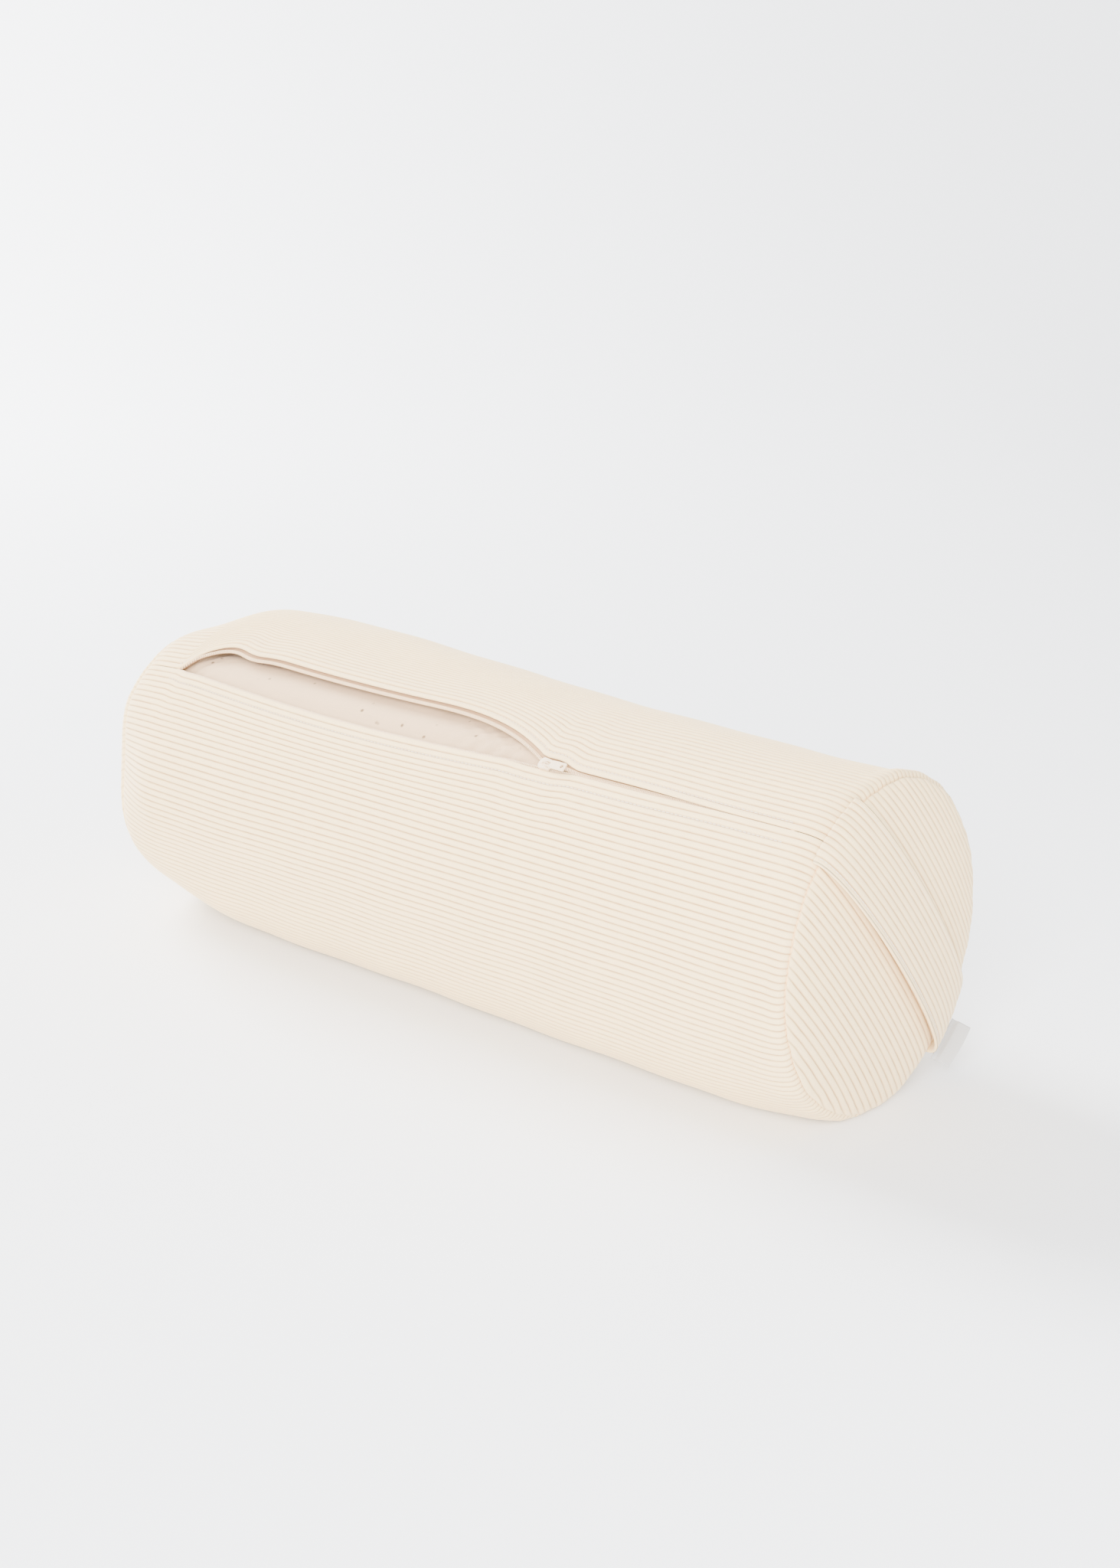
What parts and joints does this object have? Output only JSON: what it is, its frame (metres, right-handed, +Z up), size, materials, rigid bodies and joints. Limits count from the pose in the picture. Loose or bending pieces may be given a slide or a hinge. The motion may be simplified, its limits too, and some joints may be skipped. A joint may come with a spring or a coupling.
{
  "type": "bolster pillow",
  "caption": "Round floor bolster: ribbed corduroy cover with a long part-open zip and an end handle strap, over a filled calico inner pillow.",
  "frame": {"origin": "middle of the narrow flat that the roll rests on, half way between its two end seams", "axes": "+X along the roll towards its handle end, +Y towards its back, +Z up; the zip runs along the upper -Y side"},
  "size_m": [0.6629, 0.22, 0.217],
  "materials": {
    "corduroy": "cream wide-wale cotton corduroy, soft pile, ribs along the roll",
    "calico": "unbleached plain-weave cotton with small brown flecks",
    "filling": "loose fibre filling",
    "thread": "cream sewing thread",
    "zip_tape": "beige woven polyester tape",
    "zip_coil": "cream nylon coil",
    "enamel": "cream enamelled zinc, satin",
    "label": "pale grey woven satin, blank"
  },
  "bodies": {
    "cover": {"cover_tube": "corduroy", "cover_end_handle_side": "corduroy", "cover_end_plain_side": "corduroy", "end_seam_handle_side": "thread", "end_seam_plain_side": "thread", "inner_case_tube": "calico", "inner_case_end_handle_side": "calico", "inner_case_end_plain_side": "calico", "filling": "filling", "zip_coil_front": "zip_coil", "zip_tape_front": "zip_tape", "zip_bottom_stop": "zip_coil", "zip_top_stop_front": "zip_coil", "zip_top_stop_back": "zip_coil", "zip_topstitch_front": "thread"},
    "back_lip": {"zip_coil_back": "zip_coil", "zip_tape_back": "zip_tape", "zip_topstitch_back": "thread"},
    "slider": {"zip_slider": "enamel"},
    "pull_tab": {"zip_pull_tab": "enamel"},
    "strap": {"handle_strap": "corduroy", "strap_edge_stitch_front": "thread", "strap_edge_stitch_back": "thread"},
    "label": {"woven_label": "label"}
  },
  "joints": [
    {"name": "slider_travel", "type": "slide", "parent": "cover", "child": "slider", "axis": [1, 0, 0], "range_m": [-0.3517, 0.1787]},
    {"name": "back_lip_closing", "type": "slide", "parent": "cover", "child": "back_lip", "axis": [0, -0.7771, -0.6293], "range_m": [-0.0144, 0.0282], "deforming": ["zip_coil_back", "zip_tape_back", "zip_topstitch_back"]},
    {"name": "pull_tab_flip", "type": "hinge", "parent": "slider", "child": "pull_tab", "pos_m": [0.0925, -0.07055, 0.19412], "axis": [0, -0.7771, -0.6293], "range_deg": [0, 175]},
    {"name": "strap_lift", "type": "slide", "parent": "cover", "child": "strap", "axis": [1, 0, 0], "range_m": [0, 0.03]},
    {"name": "label_fold", "type": "hinge", "parent": "cover", "child": "label", "pos_m": [0.3021, 0.06932, 0.02201], "axis": [0, 0.7749, 0.632], "range_deg": [-60, 90]}
  ],
  "couplings": [
    {"joint": "back_lip_closing", "follows": "slider_travel", "ratio": -0.08}
  ]
}
